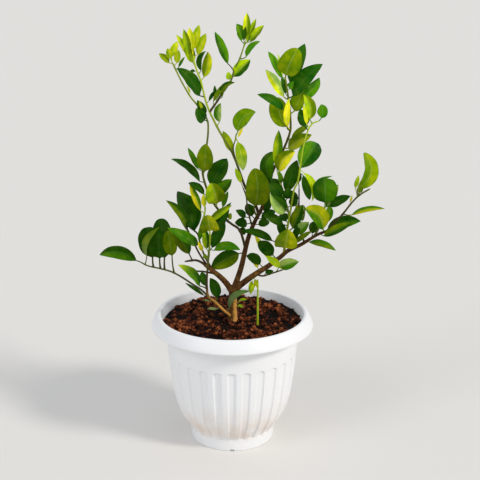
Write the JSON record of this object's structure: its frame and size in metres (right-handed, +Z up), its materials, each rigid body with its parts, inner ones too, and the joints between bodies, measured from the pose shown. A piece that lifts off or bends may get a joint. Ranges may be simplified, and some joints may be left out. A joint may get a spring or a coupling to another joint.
{
  "type": "potted lemon tree",
  "caption": "Young lemon tree with glossy pointed leaves on a forked woody stem, rooted in dark soil in a round fluted white nursery pot with a rolled rim and a foot ring",
  "frame": {"origin": "on the pot's axis, in the plane that its foot ring rests on", "axes": "+Z up along the pot's axis, -Y the front, +X to the right seen from the front"},
  "size_m": [0.4324, 0.25, 0.662],
  "materials": {
    "white_plastic": "satin",
    "potting_soil": "matte",
    "bark": "matte",
    "young_stem": "satin",
    "leaf_green": "satin"
  },
  "bodies": {
    "root": {"bright_shoot": "young_stem", "bright_shoot_leaf_1": "leaf_green", "bright_shoot_leaf_4": "leaf_green", "bright_shoot_leaf_9": "leaf_green", "cluster_twig": "young_stem", "cluster_twig_leaf_5": "leaf_green", "far_left_twig": "young_stem", "far_left_twig_leaf_1": "leaf_green", "far_left_twig_leaf_2": "leaf_green", "far_left_twig_leaf_3": "leaf_green", "far_left_twig_leaf_4": "leaf_green", "far_left_twig_leaf_5": "leaf_green", "far_left_twig_leaf_6": "leaf_green", "front_shoot": "young_stem", "front_shoot_leaf_10": "leaf_green", "front_shoot_leaf_13": "leaf_green", "front_shoot_leaf_6": "leaf_green", "inner_twig": "young_stem", "inner_twig_leaf_1": "leaf_green", "inner_twig_leaf_10": "leaf_green", "inner_twig_leaf_6": "leaf_green", "left_leader": "young_stem", "left_leader_leaf_3": "leaf_green", "left_leader_leaf_6": "leaf_green", "left_leader_leaf_8": "leaf_green", "left_shoot_a": "young_stem", "left_shoot_a_leaf_1": "leaf_green", "left_shoot_b": "young_stem", "left_shoot_b_leaf_2": "leaf_green", "left_shoot_b_leaf_3": "leaf_green", "left_stub": "young_stem", "left_stub_leaf_1": "leaf_green", "limb_centre_leaf_1": "leaf_green", "limb_centre_leaf_4": "leaf_green", "limb_centre_leaf_9": "leaf_green", "limb_right_leaf_14": "leaf_green", "limb_right_leaf_15": "leaf_green", "low_twig": "young_stem", "lower_stub": "young_stem", "mid_twig": "young_stem", "pot": "white_plastic", "rear_twig": "young_stem", "right_leader": "young_stem", "right_leader_leaf_1": "leaf_green", "right_leader_leaf_11": "leaf_green", "right_leader_leaf_15": "leaf_green", "right_leader_leaf_3": "leaf_green", "right_leader_leaf_5": "leaf_green", "right_leader_leaf_7": "leaf_green", "right_leader_leaf_9": "leaf_green", "right_shoot": "young_stem", "right_shoot_leaf_3": "leaf_green", "soil": "potting_soil", "sucker": "young_stem", "tall_leader": "young_stem", "tall_leader_leaf_4": "leaf_green", "top_twig": "young_stem", "trunk": "bark", "young_twig": "young_stem", "young_twig_leaf_3": "leaf_green"}
  },
  "joints": []
}
